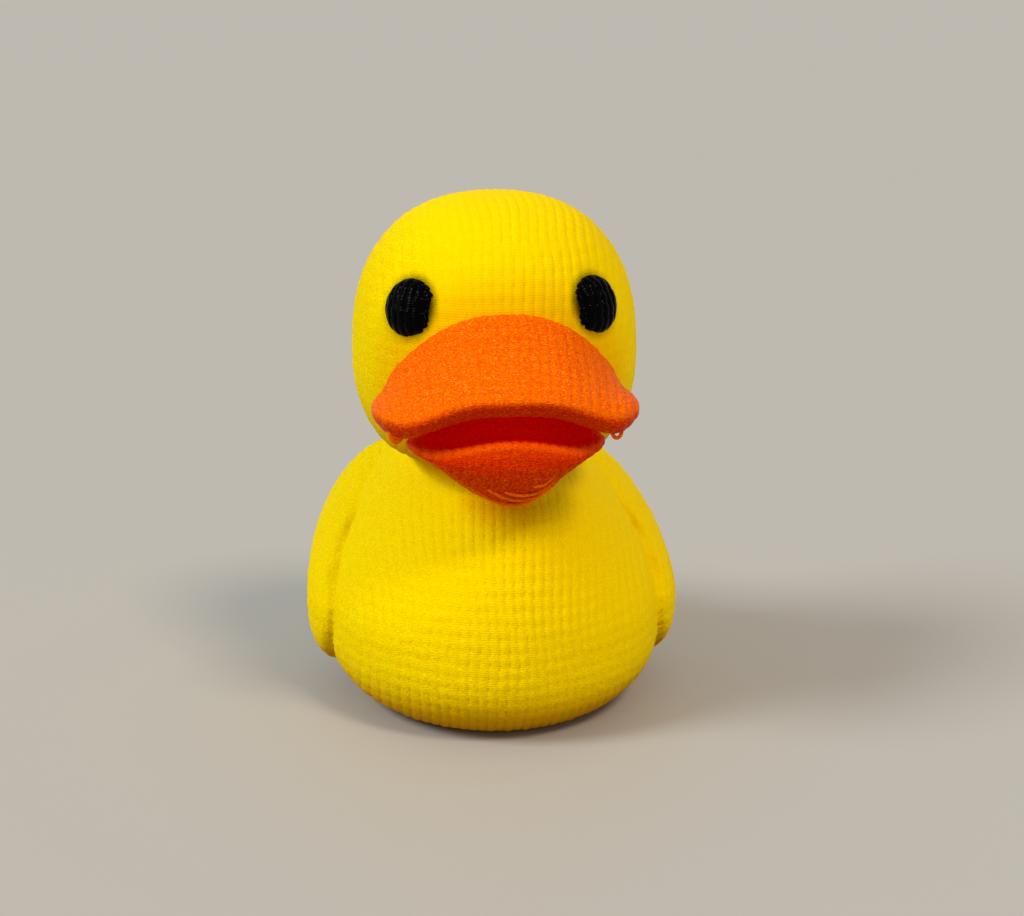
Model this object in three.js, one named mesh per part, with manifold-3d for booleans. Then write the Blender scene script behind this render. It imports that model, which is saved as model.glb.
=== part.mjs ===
// A small duck figurine, printed in yellow, orange and black plastic.
// Millimetres, +Z up. The bill points along -Y and the origin lies in the flat base, under the body.
import * as THREE from 'three';
import { mergeVertices } from 'three/addons/utils/BufferGeometryUtils.js';
import Module from 'manifold-3d';

const wasm = await Module();
wasm.setup();

// Torso: a rounded boat shape, widest at belly level and cut flat underneath
const bellyHeight = 10.5;
const torsoHalfWidth = 18.75;
const bellyReach = 19.6;
const rumpHeight = 15;
const rumpReach = 23;
const torsoRise = 17.9;
const chestOverrun = 3.1;
const rumpOverrun = 3.6;
const bellyCutDepth = 1.5;
const rumpCutDepth = 2;
const torsoRoundnessAbove = 2;
const torsoRoundnessBelow = 2.8;

// The widest point of each level moves back from the belly to the shoulders, then forward to the head
const bellySetback = 2;
const shoulderSetback = 17;
const shoulderBelowTop = 3.9;
const neckEndAboveTop = 2.6;

// Head: a rounded egg that sinks a little into the top of the torso
const headHalfWidth = 15.2;
const headFront = 16;
const headBack = 14.5;
const headForward = 3;
const headRise = 16.8;
const headDrop = 14.2;
const headSink = 2.6;
const headRoundnessAbove = 2.42;
const headRoundnessBelow = 2.3;
const neckBlend = 9;

// Wings: raised lobes on the flanks, given by angles from the front and by levels
const wingThickness = 2.1;
const wingAngle = 104;
const wingHalfAngle = 32;
const wingAboveBase = 3.1;
const wingBelowTop = 2.8;
const wingOutline = 2.6;
const wingEdgeBelow = 3.2;
const wingEdgeAbove = 1.8;

// Tail: a bump on the rump that bends upwards
const tailLength = 5.5;
const tailAboveRump = 3;
const tailHalfHeight = 8;
const tailHalfAngle = 26;
const tailLift = 6;
const tailLiftStart = 14;
const tailLiftRun = 17;
const tailTaper = 1.5;

// Fineness of the body's skin
const bodyColumns = 72;
const bodyRows = 48;

// Upper bill: a wide scoop that rises to the face and ends in a drooping rounded lip
const billHalfWidth = 13.6;
const billReach = 10.5;
const billRoot = 11;
const billSetback = 2;
const billOutline = 2.3;
const lipBelowCheek = 0.3;
const lipAbove = 0.7;
const lipBelow = 2.5;
const lipSideAbove = 1.5;
const lipSideBelow = 2.9;
const lipRounding = 2.4;
const lipUndercut = 3.6;
const undercutRoundness = 2;
const cornerRoundness = 1.7;
const lipDroop = 2.9;
const droopHalfSpan = 11.8;
const droopCurve = 3.8;
const archAboveCheek = 6.6;
const archDrop = 9;
const archHalfWidth = 13;
const archRoundness = 2.4;
const scoopCurve = 1.6;
const roofRise = 0.8;

// Lower bill: a bowl under the upper one, whose floor climbs back into the throat
const bowlHalfWidth = 10.2;
const bowlReach = 8;
const bowlRoot = 6;
const rimBelowCheek = 5;
const rimDrop = 4.1;
const rimCornerRise = 3;
const rimThickness = 1.6;
const bowlDepth = 7.2;
const bowlTaper = 1.5;
const bowlFullness = 0.5;
const throatRise = 4.8;
const throatStart = 2;
const throatEnd = 7;
const billColumns = 40;
const billRows = 16;

// Eyes: round buttons set into the head
const eyeRadius = 3;
const eyeHalfThickness = 1.5;
const eyeInset = 0.4;
const eyeAngle = 42.3;
const eyeAboveCheek = 6.8;
const eyeColumns = 18;
const eyeRows = 10;

// Gap between the body and what is seated in it
const seatClearance = 0.3;

// Roundness of a plain ellipse, and the distance under which vertices are one
const elliptic = 2;
const weldDistance = 1e-3;

// Levels that several features share
const torsoTop = bellyHeight + torsoRise;
const cheekHeight = torsoTop - headSink + headDrop;
const crownHeight = cheekHeight + headRise;
const billCentre = headForward + headFront - billSetback;
const lipHeight = cheekHeight - lipBelowCheek;

const { clamp, smoothstep, degToRad } = THREE.MathUtils;

// Share of the full size at a distance from the widest level, on a rounded quarter outline
function quarter(distance, length, roundness) {
  const share = clamp(distance / length, 0, 1);
  return (1 - share ** roundness) ** (1 / roundness);
}

// Share of the full size at a level, for a shape that is widest at one level and rounds off both ways
function bulge(level, widest, rise, drop, above, below) {
  return level > widest ? quarter(level - widest, rise, above) : quarter(widest - level, drop, below);
}

// The larger of two reaches, with a soft fillet where they are nearly equal
function blended(a, b, fillet) {
  const near = Math.max(fillet - Math.abs(a - b), 0) / fillet;
  return Math.max(a, b) + near * near * fillet / 4;
}

// Half width, front and back reach from the axis, and setback of the widest point at a level
function section(level) {
  const torso = (widest, rise, cut) =>
    bulge(level, widest, rise, widest + cut, torsoRoundnessAbove, torsoRoundnessBelow);
  const head = bulge(level, cheekHeight, headRise, headDrop, headRoundnessAbove, headRoundnessBelow);
  const headReaches = [
    headHalfWidth * head,
    headFront * head + headForward,
    headBack * head - headForward,
  ];
  const torsoReaches = [
    torsoHalfWidth * torso(bellyHeight, torsoRise, bellyCutDepth),
    bellyReach * torso(bellyHeight, torsoRise + chestOverrun, bellyCutDepth),
    rumpReach * torso(rumpHeight, torsoTop + rumpOverrun - rumpHeight, rumpCutDepth),
  ];
  const isAllHead = level >= torsoTop + Math.max(chestOverrun, rumpOverrun);
  const reaches = isAllHead
    ? headReaches
    : headReaches.map((reach, i) => blended(reach, torsoReaches[i], neckBlend));
  const shoulderHeight = torsoTop - shoulderBelowTop;
  const leanShare = smoothstep(level, bellyHeight, shoulderHeight);
  const lean = bellySetback + (shoulderSetback - bellySetback) * leanShare;
  const neckShare = smoothstep(level, shoulderHeight, torsoTop + neckEndAboveTop);
  const setback = lean + (-headForward - lean) * neckShare;
  return { halfWidth: reaches[0], front: reaches[1], back: reaches[2], setback };
}

// How far a wing stands out of the torso at an angle from the front and a level
function wingHeight(angle, level) {
  const halfHeight = (torsoTop - wingBelowTop - wingAboveBase) / 2;
  const across = (Math.abs(angle) - wingAngle) / wingHalfAngle;
  const along = (level - wingAboveBase - halfHeight) / halfHeight;
  const place = (Math.abs(across) ** wingOutline + Math.abs(along) ** wingOutline) ** (1 / wingOutline);
  const edge = wingEdgeBelow + (wingEdgeAbove - wingEdgeBelow) * clamp((along + 1) / 2, 0, 1);
  return wingThickness * quarter(place, 1, edge);
}

// How far the tail stands out of the rump at an angle from the front and a level
function tailHeight(angle, level) {
  const along = (level - rumpHeight - tailAboveRump) / tailHalfHeight;
  const across = (180 - Math.abs(angle)) / tailHalfAngle;
  return tailLength * Math.max(1 - along ** 2 - across ** 2, 0) ** tailTaper;
}

// A point of the skin at an angle in degrees from the front, towards +X, and a level
function skinPoint(angle, level) {
  const { halfWidth, front, back, setback } = section(level);
  const turn = degToRad(angle);
  const depth = Math.cos(turn) > 0 ? front + setback : back - setback;
  const out = new THREE.Vector2(halfWidth * Math.sin(turn), -depth * Math.cos(turn));
  out.setLength(out.length() + wingHeight(angle, level) + tailHeight(angle, level));
  const y = setback + out.y;
  const bend = (Math.max(y - tailLiftStart, 0) / tailLiftRun) ** 2;
  const lift = tailLift * bend * clamp(level / rumpHeight, 0, 1);
  return new THREE.Vector3(out.x, y, level + lift);
}

// The outward direction of the skin at the same angle and level
function skinNormal(angle, level) {
  const step = 0.01;
  const turned = skinPoint(angle + step, level).sub(skinPoint(angle - step, level));
  const raised = skinPoint(angle, level).sub(skinPoint(angle, level - step));
  return turned.cross(raised).normalize();
}

// Levels from the crown down to the base, closer together where the section changes fast
function evenLevels(count) {
  const samples = 400;
  const levels = [];
  const lengths = [0];
  let last = null;
  for (let i = 0; i <= samples; i++) {
    const level = crownHeight * (1 + Math.cos(Math.PI * i / samples)) / 2;
    const { halfWidth, back, setback } = section(level);
    const here = new THREE.Vector4(halfWidth, back, setback, level);
    if (last) lengths.push(lengths[i - 1] + last.sub(here).length());
    levels.push(level);
    last = here;
  }
  return Array.from({ length: count }, (_, row) => {
    const wanted = lengths[samples] * (row / (count - 1));
    const after = clamp(lengths.findIndex((length) => length >= wanted), 1, samples);
    const share = (wanted - lengths[after - 1]) / (lengths[after] - lengths[after - 1]);
    return levels[after - 1] + (levels[after] - levels[after - 1]) * share;
  });
}

// A sphere with each vertex moved to the place that its column and row give
function warpedSphere(columns, rows, place) {
  const geometry = new THREE.SphereGeometry(1, columns, rows);
  const { position } = geometry.attributes;
  for (let i = 0; i < position.count; i++) {
    const column = i % (columns + 1);
    const row = Math.floor(i / (columns + 1));
    position.setXYZ(i, ...place(column, row).toArray());
  }
  geometry.deleteAttribute('normal');
  geometry.deleteAttribute('uv');
  return mergeVertices(geometry, weldDistance);
}

// Angle in degrees from the front at a column, between -180 and 180
function columnAngle(column, columns) {
  const angle = 360 * (column % columns) / columns - 90;
  return angle > 180 ? angle - 360 : angle;
}

// A copy that stands out from the first by an even amount
function inflated(geometry, amount) {
  const larger = geometry.clone();
  larger.computeVertexNormals();
  const { position, normal } = larger.attributes;
  for (let i = 0; i < position.count; i++) {
    const point = new THREE.Vector3().fromBufferAttribute(position, i);
    point.addScaledVector(new THREE.Vector3().fromBufferAttribute(normal, i), amount);
    position.setXYZ(i, ...point.toArray());
  }
  larger.deleteAttribute('normal');
  return larger;
}

function solidOf(geometry) {
  return new wasm.Manifold(new wasm.Mesh({
    numProp: 3,
    vertProperties: Float32Array.from(geometry.attributes.position.array),
    triVerts: Uint32Array.from(geometry.index.array),
  }));
}

function geometryOf(solid) {
  const mesh = solid.getMesh();
  const geometry = new THREE.BufferGeometry();
  geometry.setAttribute('position', new THREE.BufferAttribute(mesh.vertProperties, 3));
  geometry.setIndex(new THREE.BufferAttribute(mesh.triVerts, 1));
  return geometry;
}

// Torso, head, wings and tail as one skin, closed by the flat base
function bodySkin() {
  const levels = evenLevels(bodyRows);
  return warpedSphere(bodyColumns, bodyRows, (column, row) => {
    if (row === bodyRows) return new THREE.Vector3(0, bellySetback, 0);
    return skinPoint(columnAngle(column, bodyColumns), levels[row]);
  });
}

// Places on a closed shape made of an upper and a lower sheet over a rounded plan outline
function sheetPlace(column, row, halfWidth, reach, root, outline) {
  const turn = degToRad(columnAngle(column, billColumns));
  const side = Math.PI * row / billRows;
  const depth = Math.cos(turn) > 0 ? reach : root;
  const across = Math.abs(Math.sin(turn)) / halfWidth;
  const along = Math.abs(Math.cos(turn)) / depth;
  const edge = (across ** outline + along ** outline) ** (-1 / outline);
  const share = Math.sin(side);
  const x = edge * share * Math.sin(turn);
  const y = -billCentre - edge * share * Math.cos(turn);
  const behindLip = y + billCentre + reach * quarter(Math.abs(x), halfWidth, outline);
  return { x, y, share, inside: edge * (1 - share), isUpper: row <= billRows / 2, behindLip };
}

function upperBill() {
  return warpedSphere(billColumns, billRows, (column, row) => {
    const at = sheetPlace(column, row, billHalfWidth, billReach, billRoot, billOutline);
    const across = Math.abs(at.x);
    const droopShare = Math.min(across / droopHalfSpan, 1);
    const middle = lipHeight - lipDroop * Math.sin(Math.PI / 2 * droopShare) ** droopCurve;
    const above = lipAbove + (lipSideAbove - lipAbove) * droopShare ** 2;
    const below = lipBelow + (lipSideBelow - lipBelow) * droopShare ** 2;
    const toFace = billCentre + billReach * quarter(across, billHalfWidth, billOutline)
      - headForward - headFront * quarter(across, headHalfWidth, elliptic);
    const climb = clamp(at.behindLip / Math.max(toFace, 1), 0, 1);
    const arch = cheekHeight + archAboveCheek - archDrop * (across / archHalfWidth) ** archRoundness;
    const rise = Math.max(arch - middle - above, 0) * climb ** scoopCurve;
    const roundness = undercutRoundness + (cornerRoundness - undercutRoundness) * droopShare;
    const over = quarter(Math.max(lipRounding - at.inside, 0), lipRounding, elliptic);
    const under = quarter(Math.max(lipUndercut - at.inside, 0), lipUndercut, roundness);
    const offset = at.isUpper ? (above + rise) * over : (roofRise * climb - below) * under;
    return new THREE.Vector3(at.x, at.y, middle + offset);
  });
}

function lowerBill() {
  return warpedSphere(billColumns, billRows, (column, row) => {
    const at = sheetPlace(column, row, bowlHalfWidth, bowlReach, bowlRoot, elliptic);
    const lip = rimThickness / 2;
    const sideways = (at.x / bowlHalfWidth) ** 2;
    const rim = cheekHeight - rimBelowCheek - rimDrop * sideways + rimCornerRise * sideways ** 2;
    const throat = throatRise * smoothstep(at.behindLip, throatStart, throatEnd);
    const rounded = quarter(Math.max(lip - at.inside, 0), lip, elliptic);
    const taper = (1 - sideways) ** bowlTaper;
    const bowl = bowlDepth * taper * Math.max(1 - at.share ** 2, 0) ** bowlFullness;
    const offset = at.isUpper ? lip * rounded + throat : -bowl;
    return new THREE.Vector3(at.x, at.y, rim - lip + offset);
  });
}

// One eye button, seated square on the skin at its side of the head
function eye(side) {
  const angle = side * eyeAngle;
  const level = cheekHeight + eyeAboveCheek;
  const outward = skinNormal(angle, level);
  const button = new THREE.SphereGeometry(eyeRadius, eyeColumns, eyeRows);
  button.scale(1, 1, eyeHalfThickness / eyeRadius);
  button.deleteAttribute('normal');
  button.deleteAttribute('uv');
  const mesh = new THREE.Mesh(mergeVertices(button, weldDistance));
  mesh.position.copy(skinPoint(angle, level)).addScaledVector(outward, -eyeInset);
  mesh.quaternion.setFromUnitVectors(new THREE.Vector3(0, 0, 1), outward);
  mesh.updateMatrix();
  return mesh;
}

function plastic(color) {
  return new THREE.MeshStandardMaterial({ color, roughness: 0.45, metalness: 0 });
}

const upper = upperBill();
const lower = lowerBill();
const leftEye = eye(1);
const rightEye = eye(-1);

let bodySolid = solidOf(bodySkin());
for (const seated of [upper, lower]) {
  bodySolid = bodySolid.subtract(solidOf(inflated(seated, seatClearance)));
}
for (const button of [leftEye, rightEye]) {
  const pocket = inflated(button.geometry, seatClearance).applyMatrix4(button.matrix);
  bodySolid = bodySolid.subtract(solidOf(pocket));
}

const body = new THREE.Mesh(geometryOf(bodySolid), plastic(0xf8d500));
body.name = 'body';

const bill = new THREE.Mesh(geometryOf(solidOf(upper).add(solidOf(lower))), plastic(0xff6a08));
bill.name = 'bill';

leftEye.name = 'eye_left';
leftEye.material = plastic(0x0a0a0b);
rightEye.name = 'eye_right';
rightEye.material = plastic(0x0a0a0b);

const duck = new THREE.Group();
duck.add(body, bill, leftEye, rightEye);

export default duck;
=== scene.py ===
import math

import bpy
import numpy as np
from mathutils import Matrix, Vector


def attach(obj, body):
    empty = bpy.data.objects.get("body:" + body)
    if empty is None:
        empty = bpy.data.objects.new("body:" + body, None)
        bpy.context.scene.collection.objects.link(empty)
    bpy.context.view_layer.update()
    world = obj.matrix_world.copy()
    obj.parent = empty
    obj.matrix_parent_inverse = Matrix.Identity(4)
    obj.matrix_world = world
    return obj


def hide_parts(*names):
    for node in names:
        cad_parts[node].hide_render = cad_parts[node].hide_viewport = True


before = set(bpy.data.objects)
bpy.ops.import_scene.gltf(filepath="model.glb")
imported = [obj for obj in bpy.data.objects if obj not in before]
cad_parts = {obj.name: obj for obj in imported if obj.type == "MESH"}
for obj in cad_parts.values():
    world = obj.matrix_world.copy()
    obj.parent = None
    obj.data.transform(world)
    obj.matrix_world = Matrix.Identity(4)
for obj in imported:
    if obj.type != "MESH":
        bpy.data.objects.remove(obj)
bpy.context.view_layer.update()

# Torso and head
# The duck's body is one print in yellow PLA, laid in thin layers from the flat base up. Its skin carries a
# shallow knit-look relief. Torso and head are drawn as two closed shells that meet in the crease of the neck.
MM = 0.001

belly_height = 10.5
torso_half_width = 18.75
belly_reach = 19.6
rump_height = 15
rump_reach = 23
torso_rise = 17.9
chest_overrun = 3.1
rump_overrun = 3.6
belly_cut_depth = 1.5
rump_cut_depth = 2
torso_roundness_above = 2
torso_roundness_below = 2.8
belly_setback = 2
shoulder_setback = 17
shoulder_below_top = 3.9
neck_end_above_top = 2.6
head_half_width = 15.2
head_front = 16
head_back = 14.5
head_forward = 3
head_rise = 16.8
head_drop = 14.2
head_sink = 2.6
head_roundness_above = 2.42
head_roundness_below = 2.3
neck_blend = 9
neck_below_top = 0.4
wing_thickness = 2.1
wing_angle = 104
wing_half_angle = 32
wing_above_base = 3.1
wing_below_top = 2.8
wing_outline = 2.6
wing_edge_below = 3.2
wing_edge_above = 1.8
tail_length = 5.5
tail_above_rump = 3
tail_half_height = 8
tail_half_angle = 26
tail_lift = 6
tail_lift_start = 14
tail_lift_run = 17
tail_taper = 1.5

torso_top = belly_height + torso_rise
cheek_height = torso_top - head_sink + head_drop
crown_height = cheek_height + head_rise
neck_level = torso_top - neck_below_top


def smooth(value, start, end):
    """Goes from 0 at start to 1 at end, level at both, whichever of the two is larger."""
    share = np.clip((value - start) / (end - start), 0, 1)
    return share * share * (3 - 2 * share)


def between(low, high, share):
    """The value that lies a share of the way from low to high."""
    return low + (high - low) * share


def quarter(distance, length, roundness):
    """Share of the full size at a distance from the widest place, along a quarter of a superellipse."""
    share = np.clip(distance / length, 0, 1)
    return np.clip(1 - share ** roundness, 0, 1) ** (1 / roundness)


def bulge(level, widest, rise, drop, above, below):
    """Share of the full size at a level, widest at one level and rounded off upwards and downwards."""
    return np.where(
        level > widest, quarter(level - widest, rise, above), quarter(widest - level, drop, below))


def section(level):
    """Half width, front and back reach from the axis, and setback of the widest point, at each level in mm.

    Each reach is the larger of the torso's and the head's, with a soft fillet where the two are nearly equal.
    """

    def torso(widest, rise, cut):
        """Share of the torso's full size, whose lower end is cut off by the flat base."""
        return bulge(level, widest, rise, widest + cut, torso_roundness_above, torso_roundness_below)

    def blended(a, b):
        """The larger of two reaches, plus a fillet that grows with the square of their nearness."""
        near = np.clip(neck_blend - np.abs(a - b), 0, None) / neck_blend
        fillet = np.where(level < torso_top + max(chest_overrun, rump_overrun), near ** 2 * neck_blend / 4, 0)
        return np.maximum(a, b) + fillet

    head = bulge(level, cheek_height, head_rise, head_drop, head_roundness_above, head_roundness_below)
    half_width = blended(
        head_half_width * head, torso_half_width * torso(belly_height, torso_rise, belly_cut_depth))
    front = blended(
        head_front * head + head_forward,
        belly_reach * torso(belly_height, torso_rise + chest_overrun, belly_cut_depth))
    rump = rump_reach * torso(rump_height, torso_top + rump_overrun - rump_height, rump_cut_depth)
    back = blended(head_back * head - head_forward, np.where(rump > 0, rump, -head_forward))
    shoulder_height = torso_top - shoulder_below_top
    lean = between(belly_setback, shoulder_setback, smooth(level, belly_height, shoulder_height))
    setback = between(lean, -head_forward, smooth(level, shoulder_height, torso_top + neck_end_above_top))
    return half_width, front, back, setback


def skin(angle, level):
    """Points in mm at angles in degrees from the front, towards +X, and at levels.

    Each level is an ellipse in quarters. Wings and tail lengthen its radius, and the tail bends upwards.
    """
    half_width, front, back, setback = section(level)
    sine, cosine = np.sin(np.radians(angle)), np.cos(np.radians(angle))
    x = half_width * sine
    y = -cosine * np.where(cosine > 0, front + setback, back - setback)
    wing_half_height = (torso_top - wing_below_top - wing_above_base) / 2
    along = (level - wing_above_base - wing_half_height) / wing_half_height
    across = (np.abs(angle) - wing_angle) / wing_half_angle
    place = (np.abs(across) ** wing_outline + np.abs(along) ** wing_outline) ** (1 / wing_outline)
    edge = between(wing_edge_below, wing_edge_above, np.clip((along + 1) / 2, 0, 1))
    wing = wing_thickness * quarter(place, 1, edge)
    tail_along = (level - rump_height - tail_above_rump) / tail_half_height
    tail_across = (180 - np.abs(angle)) / tail_half_angle
    tail = tail_length * np.clip(1 - tail_along ** 2 - tail_across ** 2, 0, None) ** tail_taper
    radius = np.hypot(x, y)
    longer = 1 + (wing + tail) / np.maximum(radius, 1e-6)
    x, y = x * longer, setback + y * longer
    bend = (np.clip(y - tail_lift_start, 0, None) / tail_lift_run) ** 2
    lift = tail_lift * bend * np.clip(level / rump_height, 0, 1)
    return np.stack([x, y, level + lift], axis=-1)


def even_levels(bottom, top, count):
    """Levels from bottom to top, evenly spaced along the outline rather than in height."""
    fine = bottom + (top - bottom) * (1 - np.cos(np.linspace(0, np.pi, outline_steps))) / 2
    half_width, _, back, _ = section(fine)
    steps = np.sqrt(np.diff(half_width) ** 2 + np.diff(back) ** 2 + np.diff(fine) ** 2)
    length = np.concatenate([[0], np.cumsum(steps)])
    return np.interp(np.linspace(0, length[-1], count), length, fine)


def outward(grid):
    """Unit normals of a grid whose columns run round it, from the differences along its columns and rows."""
    turned = np.roll(grid, -1, axis=1) - np.roll(grid, 1, axis=1)
    raised = np.gradient(grid, axis=0)
    normal = np.cross(turned, raised)
    return normal / np.maximum(np.linalg.norm(normal, axis=-1, keepdims=True), 1e-9)


# Knit-look relief: ribs 1 mm wide in pairs that lean together, cut into courses 1.4 mm high, none quite even.
# They waver over a few millimetres. The pattern turns to the duck's sides and top by the normal of its skin.
rib_width = 1.0
rib_half_round = 0.53
course_height = 1.4
course_pinch = 0.42
pinch_sharpness = 0.8
leg_slant = 0.2
leg_lift = 0.6
waver = 0.18
rib_sway = 2.3
rib_drift = 5.1
course_sway = 2.9
course_drift = 4.3
drift_turn = 2
scatter_column = 12.9898
scatter_row = 78.233
scatter_spread = 43758.5453
side_turn = (0.8, 0.92)
top_turn = (0.6, 0.8)
unevenness = 0.4
relief_depth = 0.18
torso_relief = 1.35
relief_rest = 0.7


def scattered(column, row):
    """A fixed number from 0 to 1 for each whole column and row: the fraction of a large sine."""
    return np.abs(np.sin(column * scatter_column + row * scatter_row) * scatter_spread) % 1


def stitches(across, along):
    """Height from 0 to 1 of the knit pattern, for ways across and along it in mm.

    Round legs lie side by side and waver a little. Each is a bead as high as its course with slanted ends,
    and as low or high as its scattered number says.
    """
    across = across + waver * np.sin(along / rib_sway + drift_turn * np.sin(across / rib_drift))
    along = along + waver * np.sin(across / course_sway + drift_turn * np.sin(along / course_drift))
    column, leg = np.divmod(across / rib_width, 1)
    side = np.where(column % 2 < 1, 1, -1)
    row, turn = np.divmod((along + side * leg_lift * (leg - 0.5)) / course_height, 1)
    middle = 0.5 + side * leg_slant * (turn - 0.5)
    rib = np.sqrt(np.clip(1 - ((leg - middle) / rib_half_round) ** 2, 0, 1))
    bead = np.sin(np.pi * turn) ** pinch_sharpness
    return rib * (1 - course_pinch * (1 - bead)) * (1 - unevenness * bead * scattered(column, row))


def knit(points, normals):
    """Relief height from 0 to 1: the pattern projected from the front, from the sides and from above."""
    x, y, z = np.moveaxis(points, -1, 0)
    front = stitches(x, z)
    upright = between(front, stitches(y, z), smooth(np.abs(normals[..., 0]), *side_turn))
    return between(upright, stitches(x, -y), smooth(normals[..., 2], *top_turn))


def closed_skin(name, grid, low_pole, high_pole, flat_low=False, flat_high=False):
    """A closed mesh from a grid in mm whose rows run up and whose columns run round anticlockwise from above.

    Neighbours are joined by quads, the last column to the first, and fans join the end rows to the poles.
    """
    rows, columns = grid.shape[:2]
    points = np.concatenate([grid.reshape(-1, 3), [low_pole, high_pole]]) * MM
    here = np.arange(rows * columns).reshape(rows, columns)
    beside = np.roll(here, -1, axis=1)
    quads = np.stack([here[:-1], beside[:-1], beside[1:], here[1:]], axis=-1)
    low_fan = np.stack([beside[0], here[0], np.full(columns, rows * columns)], axis=-1)
    high_fan = np.stack([here[-1], beside[-1], np.full(columns, rows * columns + 1)], axis=-1)
    corners = np.concatenate([quads.ravel(), low_fan.ravel(), high_fan.ravel()])
    sides = np.repeat([4, 3, 3], [quads.size // 4, columns, columns])
    is_smooth = np.repeat([True, not flat_low, not flat_high], [quads.size // 4, columns, columns])
    mesh = bpy.data.meshes.new(name)
    mesh.vertices.add(len(points))
    mesh.vertices.foreach_set("co", points.astype(np.float32).ravel())
    mesh.loops.add(len(corners))
    mesh.loops.foreach_set("vertex_index", corners.astype(np.int32))
    mesh.polygons.add(len(sides))
    mesh.polygons.foreach_set("loop_start", (np.cumsum(sides) - sides).astype(np.int32))
    mesh.polygons.foreach_set("use_smooth", is_smooth)
    mesh.update(calc_edges=True)
    mesh.validate()
    piece = bpy.data.objects.new(name, mesh)
    bpy.context.collection.objects.link(piece)
    return piece


def shade(piece, normals):
    """Gives each corner of the quads its own point's normal, and the end fans normals straight down and up.

    Two shells then meet without a line.
    """
    corners = np.empty(len(piece.data.loops), np.int32)
    piece.data.loops.foreach_get("vertex_index", corners)
    columns = normals.shape[1]
    fans = np.repeat([[0, 0, -1], [0, 0, 1]], 3 * columns, axis=0)
    piece.data.normals_split_custom_set(
        np.concatenate([normals.reshape(-1, 3)[corners[:-6 * columns]], fans]))


def paint(piece, painted):
    """Keeps named values as attributes for the material.

    Each point of the grid has its own value, and each pole has the mean of the row beside it.
    """
    for name, values in painted.items():
        attribute = piece.data.attributes.new(name, "FLOAT", "POINT")
        poles = [values[0].mean(), values[-1].mean()]
        attribute.data.foreach_set("value", np.concatenate([values.ravel(), poles]).astype(np.float32))


def linear(code):
    """Linear RGBA of an sRGB hex colour."""
    srgb = np.array([int(code[i:i + 2], 16) for i in (1, 3, 5)]) / 255
    rgb = np.where(srgb <= 0.04045, srgb / 12.92, ((srgb + 0.055) / 1.055) ** 2.4)
    return (*rgb.tolist(), 1.0)


def add(tree, kind, sockets, **settings):
    """Adds a node with its settings, and sets each named socket to a value or links it to another socket."""
    made = tree.nodes.new(kind)
    for name, value in settings.items():
        setattr(made, name, value)
    for name, value in sockets.items():
        if isinstance(value, bpy.types.NodeSocket):
            tree.links.new(value, made.inputs[name])
        else:
            made.inputs[name].default_value = value
    return made


def new_material(name):
    """An empty node material, its tree and its output node."""
    material = bpy.data.materials.new(name)
    material.use_nodes = True
    material.node_tree.nodes.clear()
    return material, material.node_tree, add(material.node_tree, "ShaderNodeOutputMaterial", {})


layer_height = 0.25 * MM
line_depth = 0.03 * MM
fleck_size = 0.16 * MM
fleck_stretch = (0.6, 0.6, 1.4)
fleck_depth = 0.06 * MM
glint_size = 0.3 * MM
glint_stretch = (1, 1, 3)
wave_length = math.pi / 10  # of a wave texture at scale 1


def print_grain(tree, place, rough):
    """Grain of a print, about one half: noise drawn out into flat flecks, as strong as the place is rough."""
    flat = add(tree, "ShaderNodeMapping", {"Vector": place, "Scale": fleck_stretch})
    noise = add(tree, "ShaderNodeTexNoise", {
        "Vector": flat.outputs["Vector"], "Scale": 1 / fleck_size, "Detail": 1.0})
    wide = add(tree, "ShaderNodeMapRange", {
        "Value": noise.outputs["Fac"], "From Min": 0.3, "From Max": 0.7, "To Min": -0.5, "To Max": 0.5})
    grain = add(tree, "ShaderNodeMath", {
        0: wide.outputs["Result"], 1: rough, 2: 0.5}, operation="MULTIPLY_ADD")
    return grain.outputs["Value"]


def painted_glints(tree, place, most):
    """Share of a painted glint, mostly none and at most so much: the peaks of a noise drawn out into short
    flat dashes, painted where a strand of the print would catch the light."""
    dashes = add(tree, "ShaderNodeMapping", {"Vector": place, "Scale": glint_stretch})
    sparks = add(tree, "ShaderNodeTexNoise", {
        "Vector": dashes.outputs["Vector"], "Scale": 1 / glint_size, "Detail": 0.0})
    glint = add(tree, "ShaderNodeMapRange", {
        "Value": sparks.outputs["Fac"], "From Min": 0.68, "From Max": 0.8, "To Max": most})
    return glint.outputs["Result"]


def print_bump(tree, place, grain, lines):
    """Bump of a print: even bands in height for its layers, and its grain.

    The layers are drawn a little coarser than the real 0.2 mm, so that they show.
    """
    bands = add(tree, "ShaderNodeTexWave", {
        "Vector": place, "Scale": wave_length / layer_height, "Distortion": 0.6, "Detail": 1.0,
        "Detail Scale": 0.4}, wave_type="BANDS", bands_direction="Z")
    lined = add(tree, "ShaderNodeBump", {
        "Height": bands.outputs["Fac"], "Strength": lines, "Distance": line_depth})
    flecked = add(tree, "ShaderNodeBump", {
        "Height": grain, "Distance": fleck_depth, "Normal": lined.outputs["Normal"]})
    return flecked.outputs["Normal"]


# Yellow PLA, printed: a slightly see-through plastic with a soft gloss of its own colour and a fine grain of
# lighter and deeper flecks, with a few painted glints. Painted shade makes it deeper in the pits of the
# relief, on faces that turn down and in the dents by the wings. The black of the eyes shows through beside
# them, and painted shade, warmed by painted orange light bounced from the bill, lies on the yellow round the
# bill.
yellow_light = "#FFEC00"
yellow_deep = "#F0BC00"
# Painted shade for the pits of the relief
yellow_pit_shade = "#F4C400"
# Painted shade for faces that turn down and for the dents by the wings
yellow_underside_shade = "#C88E00"
yellow_gloss = "#FFD000"
# A painted glint
yellow_glint = "#FFF600"
eye_halo = "#2E2600"
# Painted shade under the bill, warmed by painted orange light bounced from it
yellow_bill_bounce_shade = "#E08600"
yellow_lines = 0.4

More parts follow.
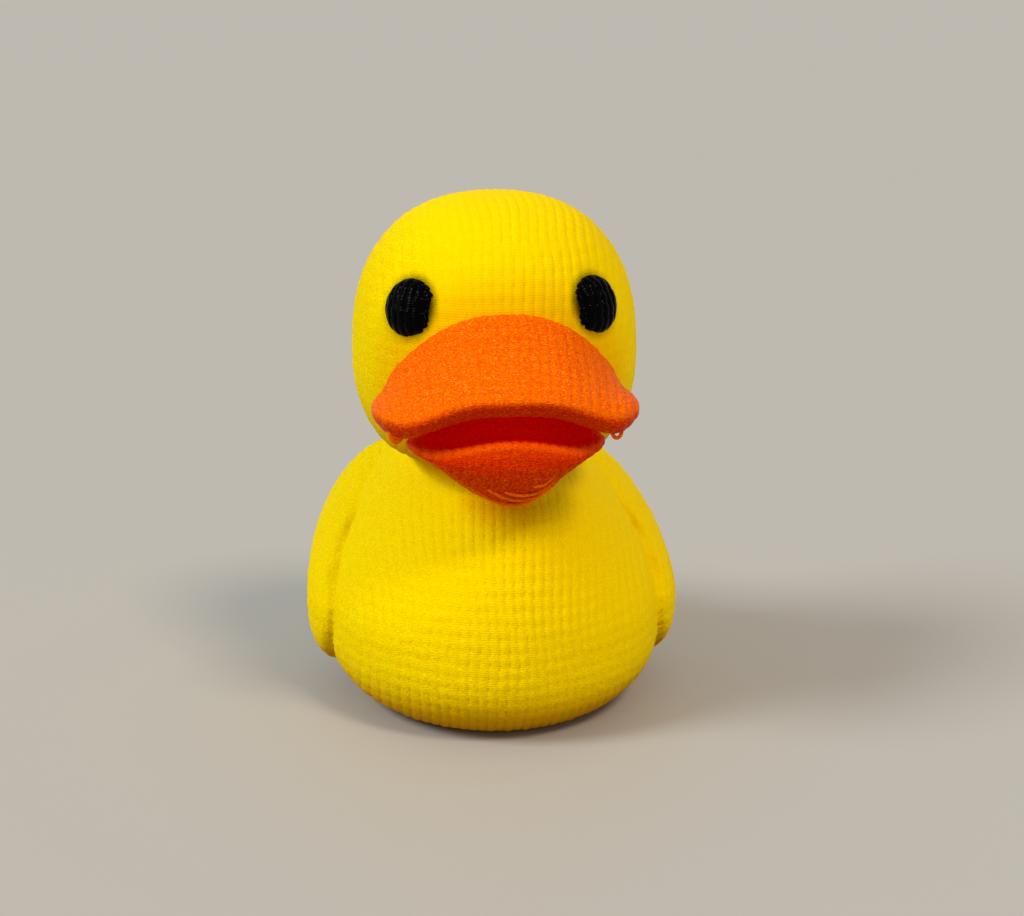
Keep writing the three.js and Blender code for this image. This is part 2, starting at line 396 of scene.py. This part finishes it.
yellow_pla, tree, output = new_material("printed_yellow_pla")
place = add(tree, "ShaderNodeTexCoord", {}).outputs["Object"]
relief = add(tree, "ShaderNodeAttribute", {}, attribute_name="relief")
underside_shade = add(tree, "ShaderNodeAttribute", {}, attribute_name="underside_shade")
halo = add(tree, "ShaderNodeAttribute", {}, attribute_name="halo")
bill_bounce_shade = add(tree, "ShaderNodeAttribute", {}, attribute_name="bill_bounce_shade")
rough = add(tree, "ShaderNodeAttribute", {}, attribute_name="rough")
grain = print_grain(tree, place, rough.outputs["Fac"])
# Painted shade: the lower the relief, the more of the pit colour
depth = add(tree, "ShaderNodeMapRange", {
    "Value": relief.outputs["Fac"], "From Min": 0.2, "From Max": 0.8, "To Min": 0.85})
flecked_colour = add(tree, "ShaderNodeMix", {
    0: grain, 6: linear(yellow_deep), 7: linear(yellow_light)}, data_type="RGBA")
pit_shaded_colour = add(tree, "ShaderNodeMix", {
    0: depth.outputs["Result"], 6: linear(yellow_pit_shade), 7: flecked_colour.outputs[2]}, data_type="RGBA")
# Painted glints, more where the grain is strong
glint_colour = add(tree, "ShaderNodeMix", {
    0: painted_glints(tree, place, rough.outputs["Fac"]), 6: pit_shaded_colour.outputs[2],
    7: linear(yellow_glint)}, data_type="RGBA")
# Painted shade and painted orange bounce light round the bill
bill_shaded_colour = add(tree, "ShaderNodeMix", {
    0: bill_bounce_shade.outputs["Fac"], 6: glint_colour.outputs[2], 7: linear(yellow_bill_bounce_shade)}, data_type="RGBA")
# Painted shade on faces that turn down and in the dents by the wings
underside_shaded_colour = add(tree, "ShaderNodeMix", {
    0: underside_shade.outputs["Fac"], 6: bill_shaded_colour.outputs[2], 7: linear(yellow_underside_shade)}, data_type="RGBA")
skin_colour = add(tree, "ShaderNodeMix", {
    0: halo.outputs["Fac"], 6: underside_shaded_colour.outputs[2], 7: linear(eye_halo)}, data_type="RGBA")
shader = add(tree, "ShaderNodeBsdfPrincipled", {
    "Base Color": skin_colour.outputs[2], "Roughness": 0.5, "IOR": 1.46, "Specular IOR Level": 0.008,
    "Specular Tint": linear(yellow_gloss), "Subsurface Weight": 0.08, "Subsurface Radius": (1.0, 0.55, 0.1),
    "Subsurface Scale": 1.0 * MM, "Normal": print_bump(tree, place, grain, yellow_lines)})
tree.links.new(shader.outputs["BSDF"], output.inputs["Surface"])

body_columns = 690
torso_rows = 143
head_rows = 143
outline_steps = 2000
base_fade = 0.6
crown_fade = 0.15
neck_fade = (-2, 4)

# The eyes' places, and the dark halo round them
eye_angle = 42.3
eye_above_cheek = 6.8
eye_radius = 3
halo_start = 0.3
halo_width = 1.1
halo_least = 0.3
halo_sides = (-0.6, 0.9)

# Painted shade and bounced orange round the bill: a soft ball, and how much of it the head and torso take
warm_centre = (0, -17, 37)
warm_size = (14, 12, 12)
warm_edge = (0.8, 1.25)
warm_head = 0.4
warm_torso = 0.8

# Two soft dents where each wing joins the body, darkened with painted shade
dent_angle = wing_angle - wing_half_angle + 1
dent_half_angle = 1.2
dent_level = 18.8
dent_half_height = 1.4
low_dent_level = 15
low_dent_half_height = 1
low_dent_share = 0.5
dent_depth = 0.22
dent_shade = 0.4

# Painted shade and grain: ranges of how far the skin faces down, from 0, upright, to 1, and grain strengths
underside_shade_turn = (0.1, 0.85)
head_fleck = 0.16
torso_fleck = 0.4
under_fleck = 0.5
under_turn = (-0.2, 0.5)
right_head_fleck = 0.5
right_torso_fleck = 0.2
right_from = (5, 13)
halo_fleck = 0.8

eye_level = cheek_height + eye_above_cheek
levels = np.concatenate([
    even_levels(0, neck_level, torso_rows), even_levels(neck_level, crown_height, head_rows + 1)[1:-1]])
angles = np.linspace(-180, 180, body_columns, endpoint=False)
body_grid = skin(angles[None, :], levels[:, None])
body_normals = outward(body_grid)
downward = -body_normals[..., 2]
torso_share = 1 - smooth(levels - neck_level, *neck_fade)[:, None]
body_relief = knit(body_grid, body_normals) * smooth(levels, 0, base_fade)[:, None]

# The eyes' dark halo is widest towards the middle of the face
eye_centres = skin(np.array([eye_angle, -eye_angle]), np.array([eye_level, eye_level]))
eye_distance = np.min(np.linalg.norm(body_grid[:, :, None] - eye_centres, axis=-1), axis=-1)
inward = (eye_centres[0, 0] - np.abs(body_grid[..., 0])) / eye_radius
body_halo = (1 - smooth(eye_distance, eye_radius - halo_start, eye_radius + halo_width)) * between(
    halo_least, 1, smooth(inward, *halo_sides))

# Painted shade and painted orange bounce light round the bill
from_bill = np.linalg.norm((body_grid - warm_centre) / warm_size, axis=-1)
body_bill_bounce_shade = between(warm_head, warm_torso, torso_share) * (1 - smooth(from_bill, *warm_edge))
dent_height = (np.exp(-((levels - dent_level) / dent_half_height) ** 2)
               + low_dent_share * np.exp(-((levels - low_dent_level) / low_dent_half_height) ** 2))
dent = np.exp(-((np.abs(angles) - dent_angle) / dent_half_angle) ** 2) * dent_height[:, None]
# Painted shade on faces that turn down, and in the dents by the wings
body_underside_shade = np.maximum(smooth(downward, *underside_shade_turn), dent_shade * dent)

# The grain is stronger on the torso, where the print overhangs, on the duck's right side and beside the eyes
# The same strength sets how many painted glints show
body_rough = (between(head_fleck, torso_fleck, torso_share) + under_fleck * smooth(downward, *under_turn)
              + between(right_head_fleck, right_torso_fleck, torso_share)
              * smooth(-body_grid[..., 0], *right_from) + halo_fleck * body_halo)
body_paint = {"relief": body_relief, "underside_shade": body_underside_shade, "rough": body_rough, "halo": body_halo,
              "bill_bounce_shade": body_bill_bounce_shade}

ends = smooth(levels, 0, base_fade) * smooth(crown_height - levels, 0, crown_fade)
depth_here = relief_depth * between(1, torso_relief, torso_share) * ends[:, None]
raised = depth_here * (body_relief - relief_rest) - dent_depth * dent
body_grid = body_grid + body_normals * raised[..., None]
body_normals = outward(body_grid)

base_pole = (0, belly_setback, 0)
neck_pole = body_grid[torso_rows - 1].mean(axis=0)
torso = closed_skin("torso", body_grid[:torso_rows], base_pole, neck_pole, flat_low=True, flat_high=True)
shade(torso, body_normals[:torso_rows])
paint(torso, {name: values[:torso_rows] for name, values in body_paint.items()})
torso.data.materials.append(yellow_pla)
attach(torso, "root")
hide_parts("body")

crown_lift = 0.01
crown_pole = body_grid[-1].mean(axis=0) + (0, 0, crown_lift)
head = closed_skin("head", body_grid[torso_rows - 1:], neck_pole, crown_pole, flat_low=True)
shade(head, body_normals[torso_rows - 1:])
paint(head, {name: values[torso_rows - 1:] for name, values in body_paint.items()})
head.data.materials.append(yellow_pla)
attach(head, "root")
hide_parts("body")

# Upper bill
# The upper half of the bill is printed in orange PLA in the same go. It is a wide scoop that rises to the
# face and ends in a rounded lip that droops at both corners.
bill_half_width = 13.6
bill_reach = 10.5
bill_root = 11
bill_setback = 2
bill_outline = 2.3
lip_below_cheek = 0.3
lip_above = 0.7
lip_below = 2.5
lip_side_above = 1.5
lip_side_below = 2.9
lip_rounding = 2.4
lip_undercut = 3.6
undercut_roundness = 2
corner_roundness = 1.7
elliptic = 2
lip_droop = 2.9
droop_half_span = 11.8
droop_curve = 3.8
arch_above_cheek = 6.6
arch_drop = 9
arch_half_width = 13
arch_roundness = 2.4
scoop_curve = 1.6
roof_rise = 0.8
# Where the roof of the mouth takes its painted deep red shade
roof_red = (2, 4)
bill_relief_depth = 0.18
lip_ease = 16
lip_ease_rows = (60, 25)
lip_ease_sides = (11.5, 7)
bill_underside_shade_turn = (-0.45, 0.5)

bill_columns = 400
bill_rows = 200
bill_centre = head_forward + head_front - bill_setback
lip_height = cheek_height - lip_below_cheek


def sheets(half_width, reach, root, outline):
    """Two sheets that meet along a rounded plan outline, a superellipse round the bill's centre.

    A row's share of the way out is the sine of its turn, which goes from the middle of the lower sheet over
    the outline to the middle of the upper one. Gives x and y, that share, the depth inside the outline,
    whether it is the upper sheet, and the way back from the lip.
    """
    turn = np.radians(np.linspace(-180, 180, bill_columns, endpoint=False))[None, :]
    side = np.linspace(np.pi, 0, bill_rows + 2)[1:-1, None]
    reach_here = np.where(np.cos(turn) > 0, reach, root)
    across = np.abs(np.sin(turn)) / half_width
    along = np.abs(np.cos(turn)) / reach_here
    edge = (across ** outline + along ** outline) ** (-1 / outline)
    share = np.sin(side) + 0 * turn
    x = edge * share * np.sin(turn)
    y = -bill_centre - edge * share * np.cos(turn)
    behind_lip = y + bill_centre + reach * quarter(np.abs(x), half_width, outline)
    return x, y, share, edge * (1 - share), np.cos(side) > 0, behind_lip


def upper_bill_shape():
    """The lip's middle line droops sideways. Above it the scoop climbs to the arch, and below it lies
    the roof of the mouth, painted deep red inside for its shade."""
    x, y, _, inside, is_upper, behind_lip = sheets(bill_half_width, bill_reach, bill_root, bill_outline)
    across = np.abs(x)
    droop_share = np.clip(across / droop_half_span, 0, 1)
    middle = lip_height - lip_droop * np.sin(np.pi / 2 * droop_share) ** droop_curve
    above = between(lip_above, lip_side_above, droop_share ** 2)
    below = between(lip_below, lip_side_below, droop_share ** 2)
    to_face = (bill_centre + bill_reach * quarter(across, bill_half_width, bill_outline)
               - head_forward - head_front * quarter(across, head_half_width, elliptic))
    climb = np.clip(behind_lip / np.maximum(to_face, 1), 0, 1)
    arch = cheek_height + arch_above_cheek - arch_drop * (across / arch_half_width) ** arch_roundness
    rise = np.clip(arch - middle - above, 0, None) * climb ** scoop_curve
    roundness = between(undercut_roundness, corner_roundness, droop_share)
    over = quarter(np.clip(lip_rounding - inside, 0, None), lip_rounding, elliptic)
    under = quarter(np.clip(lip_undercut - inside, 0, None), lip_undercut, roundness)
    offset = np.where(is_upper, (above + rise) * over, (roof_rise * climb - below) * under)
    rim = np.stack([x, y - behind_lip, middle], axis=-1)
    red = np.where(is_upper, 0, smooth(inside, *roof_red))
    return np.stack([x, y, middle + offset], axis=-1), rim, red


def bill_knit(points, rim):
    """Relief height from 0 to 1 on the bill: ribs run in x, courses by the straight way back from the rim."""
    x, y, z = np.moveaxis(points, -1, 0)
    return stitches(x, np.hypot(y - rim[..., 1], z - rim[..., 2]))


# Orange PLA, printed: like the yellow, with a stronger grain and more painted glints. Painted shade makes
# it deeper in the pits of the relief, and a deep red broken up by the grain on faces that turn down. Inside
# the mouth a painted deep red stands for its shade.
orange_light = "#FF8200"
orange_deep = "#F44600"
# Painted shade for the pits of the relief
orange_pit_shade = "#EC4A00"
# Painted deep red shade for faces that turn down
orange_underside_shade = "#CC2400"
# Painted deep red shade inside the mouth
mouth_shade_red = "#FF0A00"
orange_gloss = "#FF8430"
# A painted glint
orange_glint = "#FF9C38"
orange_grain = 0.9
orange_glints = 0.9
orange_lines = 0.5

orange_pla, tree, output = new_material("printed_orange_pla")
place = add(tree, "ShaderNodeTexCoord", {}).outputs["Object"]
relief = add(tree, "ShaderNodeAttribute", {}, attribute_name="relief")
underside_shade = add(tree, "ShaderNodeAttribute", {}, attribute_name="underside_shade")
mouth = add(tree, "ShaderNodeAttribute", {}, attribute_name="mouth")
grain = print_grain(tree, place, orange_grain)
# Painted shade: the lower the relief, the more of the pit colour
depth = add(tree, "ShaderNodeMapRange", {
    "Value": relief.outputs["Fac"], "From Min": 0.2, "From Max": 0.8, "To Min": 0.7})
flecked_colour = add(tree, "ShaderNodeMix", {
    0: grain, 6: linear(orange_deep), 7: linear(orange_light)}, data_type="RGBA")
pit_shaded_colour = add(tree, "ShaderNodeMix", {
    0: depth.outputs["Result"], 6: linear(orange_pit_shade), 7: flecked_colour.outputs[2]}, data_type="RGBA")
# Painted glints
glint_colour = add(tree, "ShaderNodeMix", {
    0: painted_glints(tree, place, orange_glints), 6: pit_shaded_colour.outputs[2],
    7: linear(orange_glint)}, data_type="RGBA")
# Painted shade on faces that turn down, broken up by the grain
shadowed = add(tree, "ShaderNodeMapRange", {"Value": grain, "To Min": 1.35, "To Max": 0.55})
patchy = add(tree, "ShaderNodeMath", {
    0: underside_shade.outputs["Fac"], 1: shadowed.outputs["Result"]}, operation="MULTIPLY", use_clamp=True)
underside_shaded_colour = add(tree, "ShaderNodeMix", {
    0: patchy.outputs["Value"], 6: glint_colour.outputs[2], 7: linear(orange_underside_shade)}, data_type="RGBA")
# Painted deep red shade inside the mouth
bill_colour = add(tree, "ShaderNodeMix", {
    0: mouth.outputs["Fac"], 6: underside_shaded_colour.outputs[2], 7: linear(mouth_shade_red)}, data_type="RGBA")
shader = add(tree, "ShaderNodeBsdfPrincipled", {
    "Base Color": bill_colour.outputs[2], "Roughness": 0.28, "IOR": 1.46, "Specular IOR Level": 0.012,
    "Specular Tint": linear(orange_gloss), "Subsurface Weight": 0.08, "Subsurface Radius": (1.0, 0.3, 0.05),
    "Subsurface Scale": 1.0 * MM, "Normal": print_bump(tree, place, grain, orange_lines)})
tree.links.new(shader.outputs["BSDF"], output.inputs["Surface"])


def eased(grid, spread):
    """The grid with each point at the mean of its column, weighed by a bell curve over so many rows."""
    furthest = 3 * spread
    reach = np.arange(-furthest, furthest + 1)
    weight = np.exp(-(reach / spread) ** 2 / 2)
    padded = np.pad(grid, ((furthest, furthest), (0, 0), (0, 0)), mode="edge")
    windows = np.lib.stride_tricks.sliding_window_view(padded, len(reach), axis=0)
    return windows @ (weight / weight.sum())


bill_grid, bill_rim, bill_mouth_shade = upper_bill_shape()
from_crest = np.abs(np.arange(bill_rows) - (bill_rows - 1) / 2)[:, None]
near_lip = smooth(from_crest, *lip_ease_rows) * smooth(np.abs(bill_grid[..., 0]), *lip_ease_sides)
bill_grid = between(bill_grid, eased(bill_grid, lip_ease), near_lip[..., None])
bill_normals = outward(bill_grid)
bill_relief = bill_knit(bill_grid, bill_rim)
# Painted shade on faces that turn down
bill_underside_shade = smooth(-bill_normals[..., 2], *bill_underside_shade_turn)
bill_grid = bill_grid + bill_normals * (bill_relief_depth * (bill_relief - relief_rest))[..., None]
upper_bill = closed_skin("upper_bill", bill_grid, bill_grid[0].mean(axis=0), bill_grid[-1].mean(axis=0))
paint(upper_bill, {"relief": bill_relief, "underside_shade": bill_underside_shade, "mouth": bill_mouth_shade})
upper_bill.data.materials.append(orange_pla)
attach(upper_bill, "root")
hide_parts("bill")

# Lower bill
# The lower half is a shallow bowl of the same orange PLA, fused to the upper half at the back of the mouth.
# Its floor climbs into the throat, and its rim dips at both sides.
bowl_half_width = 10.2
bowl_reach = 8
bowl_root = 6
rim_below_cheek = 5
rim_drop = 4.1
rim_corner_rise = 3
rim_thickness = 1.6
bowl_depth = 7.2
bowl_taper = 1.5
bowl_fullness = 0.5
throat_rise = 4.8
throat_start = 2
throat_end = 7
# Painted deep red shade on the floor of the mouth, and a little on the rim's outside
rim_red = 0.3
rim_red_fade = (0, 0.8)
floor_red = (0.2, 1.5)
bowl_shade = 0.88
bowl_underside_shade_turn = (-0.6, 0.4)


def lower_bill_shape():
    """A rim that drops sideways and rises to its corners, a floor in painted deep red shade that climbs into
    the throat, and a bowl that is full in front and tapers to the sides."""
    x, y, share, inside, is_upper, behind_lip = sheets(bowl_half_width, bowl_reach, bowl_root, elliptic)
    lip = rim_thickness / 2
    sideways = (x / bowl_half_width) ** 2
    rim = cheek_height - rim_below_cheek - rim_drop * sideways + rim_corner_rise * sideways ** 2
    throat = throat_rise * smooth(behind_lip, throat_start, throat_end)
    rounded = quarter(np.clip(lip - inside, 0, None), lip, elliptic)
    bowl = bowl_depth * (1 - sideways) ** bowl_taper * (1 - share ** 2) ** bowl_fullness
    z = rim - lip + np.where(is_upper, lip * rounded + throat, -bowl)
    rim_line = np.stack([x, y - behind_lip, rim - lip], axis=-1)
    floor = between(rim_red, 1, smooth(inside, *floor_red))
    outside = rim_red * (1 - smooth(inside, *rim_red_fade))
    return np.stack([x, y, z], axis=-1), rim_line, np.where(is_upper, floor, outside)


bowl_grid, bowl_rim, bowl_mouth_shade = lower_bill_shape()
bowl_normals = outward(bowl_grid)
bowl_relief = bill_knit(bowl_grid, bowl_rim)
# Painted shade on faces that turn down, not quite full
bowl_underside_shade = bowl_shade * smooth(-bowl_normals[..., 2], *bowl_underside_shade_turn)
bowl_grid = bowl_grid + bowl_normals * (bill_relief_depth * (bowl_relief - relief_rest))[..., None]
lower_bill = closed_skin("lower_bill", bowl_grid, bowl_grid[0].mean(axis=0), bowl_grid[-1].mean(axis=0))
paint(lower_bill, {"relief": bowl_relief, "underside_shade": bowl_underside_shade, "mouth": bowl_mouth_shade})
lower_bill.data.materials.append(orange_pla)
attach(lower_bill, "root")
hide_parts("bill")

# Threads of the bill
# Where the overhanging lip and bowl were printed on air, single threads of orange PLA sagged and set. A loop
# hangs under one corner of the lip, a droop under the other, and a few strands lie under the bowl.
thread_steps = 60
thread_sides = 14
# A little painted shade all over each thread
thread_underside_shade = 0.1
tip_bluntness = 8
tip_end = 0.999

# Each thread's radius and the points that it runs through, in mm
thread_lines = {
    "thread_loop": (0.2, [(10.5, -21.3, 36.0), (10.36, -21.5, 35.2), (10.5, -21.55, 34.62),
                          (10.85, -21.55, 34.42), (11.2, -21.55, 34.66), (11.3, -21.5, 35.2),
                          (11.0, -21.4, 35.75), (10.9, -21.2, 36.1)]),
    "thread_droop": (0.3, [(-11.95, -21.3, 36.2), (-11.85, -21.5, 35.4), (-11.62, -21.55, 34.8),
                           (-11.28, -21.55, 34.62), (-10.95, -21.5, 34.85), (-10.75, -21.45, 35.4),
                           (-10.6, -21.2, 36.1)]),
    "thread_droop_inner": (0.26, [(-11.4, -21.3, 36.2), (-11.42, -21.6, 35.5), (-11.25, -21.65, 35.1),
                                  (-11.0, -21.6, 35.3), (-10.9, -21.3, 36.0)]),
    "thread_low": (0.21, [(-4.9, -21.5, 30.6), (-3.0, -21.45, 29.0), (-1.4, -20.75, 27.95),
                          (0.25, -19.9, 27.3), (1.75, -19.95, 27.5), (3.2, -20.3, 28.35),
                          (4.5, -20.65, 29.5), (5.2, -20.9, 30.4)]),
    "thread_middle": (0.2, [(-2.3, -22.9, 29.8), (-1.0, -22.45, 28.95), (0.3, -21.85, 28.35),
                            (1.6, -21.4, 28.2), (2.9, -21.3, 28.55), (4.2, -21.4, 29.5)]),
    "thread_high": (0.18, [(-0.6, -23.0, 29.5), (0.4, -22.75, 29.1), (1.4, -22.4, 28.9), (2.6, -22.0, 29.0),
                           (3.7, -21.7, 29.5), (4.7, -21.7, 30.4)]),
    "thread_side": (0.16, [(2.2, -23.1, 30.0), (3.1, -22.85, 30.0), (3.9, -22.75, 30.5), (4.7, -23.1, 31.5)]),
}


def flowing(points):
    """A smooth line through the points: on each span the cubic whose ends slope as their neighbours lie."""
    points = np.array(points)
    padded = np.concatenate([2 * points[:1] - points[1:2], points, 2 * points[-1:] - points[-2:-1]])
    way = np.linspace(0, len(points) - 1, thread_steps)
    span = np.minimum(way.astype(int), len(points) - 2)
    share = (way - span)[:, None]
    before, start, end, after = (padded[span + i] for i in range(4))
    return start + 0.5 * share * (
        end - before + share * (2 * before - 5 * start + 4 * end - after
                                + share * (3 * start - before - 3 * end + after)))


def thread_shape(line, radius):
    """Rings square to a line, round, and drawn in to a blunt tip at both ends."""
    along = np.gradient(line, axis=0)
    along = along / np.linalg.norm(along, axis=-1, keepdims=True)
    side = np.cross(along, (0, 1, 0))
    side = side / np.linalg.norm(side, axis=-1, keepdims=True)
    other = np.cross(along, side)
    turn = np.linspace(0, 2 * np.pi, thread_sides, endpoint=False)[None, :, None]
    blunt = quarter(np.abs(np.linspace(-tip_end, tip_end, thread_steps)), 1, tip_bluntness)[:, None, None]
    return line[:, None] + radius * blunt * (np.cos(turn) * side[:, None] + np.sin(turn) * other[:, None])


for name, (radius, points) in thread_lines.items():
    grid = thread_shape(flowing(points), radius)
    thread = closed_skin(name, grid, grid[0].mean(axis=0), grid[-1].mean(axis=0))
    whole = np.ones(grid.shape[:2])
    paint(thread, {"relief": whole, "underside_shade": thread_underside_shade * whole})
    thread.data.materials.append(orange_pla)
    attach(thread, "root")
    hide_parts("bill")

# Eyes
# Two domes of black PLA, printed into the head, with the same ribs and a satin gloss. Towards the middle of
# the face each is flatter, and its stitches end in uneven teeth.
eye_half_thickness = 1.5
eye_inset = 0.4
eye_relief_depth = 0.3
rib_shift = 0.5
inner_flat = 0.88
tooth_height = 0.65
tooth_length = 0.45
tooth_sides = (0, 0.6)
tooth_band = (0.85, 1)
eye_columns = 240
eye_rows = 90

# Black PLA, printed: almost no colour, so that its gloss draws the ribs
eye_black = "#010102"
black_grain = 0.1
black_lines = 0.5

black_pla, tree, output = new_material("printed_black_pla")
place = add(tree, "ShaderNodeTexCoord", {}).outputs["Object"]
shader = add(tree, "ShaderNodeBsdfPrincipled", {
    "Base Color": linear(eye_black), "Roughness": 0.18, "IOR": 1.46, "Specular IOR Level": 0.035,
    "Normal": print_bump(tree, place, print_grain(tree, place, black_grain), black_lines)})
tree.links.new(shader.outputs["BSDF"], output.inputs["Surface"])


def eye_shape(side):
    """A flattened ball on the skin whose depth axis is the skin's normal.

    Ribs stand out along that normal. The side towards the middle of the face is flattened and ends in
    uneven teeth.
    """
    step = 0.05
    angle = side * eye_angle
    centre = skin(np.array(angle), np.array(eye_level))
    turned = skin(np.array(angle + step), np.array(eye_level)) - centre
    raised = skin(np.array(angle), np.array(eye_level + step)) - centre
    out = np.cross(turned, raised)
    out = out / np.linalg.norm(out)
    sideways = np.cross((0, 0, 1), out)
    sideways = sideways / np.linalg.norm(sideways)
    up = np.cross(out, sideways)
    turn = np.linspace(0, 2 * np.pi, eye_columns, endpoint=False)[None, :]
    tilt = np.linspace(np.pi, 0, eye_rows + 2)[1:-1, None]
    inner = -side * np.cos(turn)
    row, part = np.divmod(eye_radius * np.sin(turn) / tooth_height, 1)
    tooth = tooth_length * np.sin(np.pi * part) * scattered(row, side) * smooth(inner, *tooth_sides)
    across = -side * (eye_radius * np.minimum(inner, inner_flat) * np.sin(tilt)
                      + tooth * smooth(np.sin(tilt), *tooth_band))
    along = eye_radius * np.sin(tilt) * np.sin(turn)
    ribs = eye_relief_depth * (stitches(across + rib_shift, along) - relief_rest) * np.cos(tilt / 2)
    proud = eye_half_thickness * np.cos(tilt) - eye_inset + ribs
    parts = across[..., None] * sideways + along[..., None] * up + proud[..., None] * out
    return centre + parts


for name, side in (("eye_left", 1), ("eye_right", -1)):
    grid = eye_shape(side)
    eye = closed_skin(name + "_dome", grid, grid[0].mean(axis=0), grid[-1].mean(axis=0))
    eye.data.materials.append(black_pla)
    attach(eye, "root")
    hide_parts(name)

# Floor, light and camera
# A plain pale floor, two soft lamps in front of the duck, a white one on the left and a warm one on the
# right, and a white sky. The camera stands where the photograph was taken from.
floor_half = 3.0
floor_grey = "#B6B4AF"
sky_white = "#FFFFFF"
sky_strength = 0.44

floor_mesh = bpy.data.meshes.new("floor")
floor_mesh.from_pydata(
    [(-floor_half, -floor_half, 0), (floor_half, -floor_half, 0), (floor_half, floor_half, 0),
     (-floor_half, floor_half, 0)], [], [(0, 1, 2, 3)])
floor = bpy.data.objects.new("floor", floor_mesh)
bpy.context.collection.objects.link(floor)

# Painted board: matt and even, so that it shows the duck's soft shadow and little else
floor_paint, tree, output = new_material("matt_painted_board")
shader = add(tree, "ShaderNodeBsdfPrincipled", {"Base Color": linear(floor_grey), "Roughness": 0.6})
tree.links.new(shader.outputs["BSDF"], output.inputs["Surface"])
floor_mesh.materials.append(floor_paint)

world = bpy.data.worlds.new("sky")
world.use_nodes = True
world.node_tree.nodes["Background"].inputs["Color"].default_value = linear(sky_white)
world.node_tree.nodes["Background"].inputs["Strength"].default_value = sky_strength
bpy.context.scene.world = world


def lamp(name, direction, spread, strength, colour):
    """A far soft lamp that shines from a direction, as wide in degrees as its spread."""
    data = bpy.data.lights.new(name, "SUN")
    data.angle = math.radians(spread)
    data.energy = strength
    data.color = linear(colour)[:3]
    made = bpy.data.objects.new(name, data)
    made.rotation_euler = Vector(direction).to_track_quat("Z", "Y").to_euler()
    bpy.context.collection.objects.link(made)


lamp("lamp_left", direction=(-40, -15, 36), spread=22, strength=1.78, colour="#FAFFFF")
lamp("lamp_right", direction=(26, -42, 56), spread=14, strength=1.4, colour="#FFE8CC")

look_at = Vector((0, 0, 28)) * MM
camera_azimuth = math.radians(-4.5)
camera_elevation = math.radians(14.5)
camera_distance = 250
camera_roll = math.radians(-0.3)
image_width = 1024
focal_pixels = 2275
middle_right_of_target = 19.5
middle_below_target = 9

camera = bpy.data.objects.new("camera", bpy.data.cameras.new("camera"))
toward = Vector((math.sin(camera_azimuth) * math.cos(camera_elevation),
                 -math.cos(camera_azimuth) * math.cos(camera_elevation), math.sin(camera_elevation)))
turned = toward.to_track_quat("Z", "Y").to_matrix().to_4x4() @ Matrix.Rotation(camera_roll, 4, "Z")
camera.matrix_world = Matrix.Translation(look_at + toward * camera_distance * MM) @ turned
camera.data.sensor_width = 36
camera.data.lens = focal_pixels / image_width * camera.data.sensor_width
camera.data.shift_x = middle_right_of_target / image_width
camera.data.shift_y = -middle_below_target / image_width
camera.data.clip_start = 0.01
bpy.context.collection.objects.link(camera)
bpy.context.scene.camera = camera
bpy.context.scene.view_settings.view_transform = "Standard"
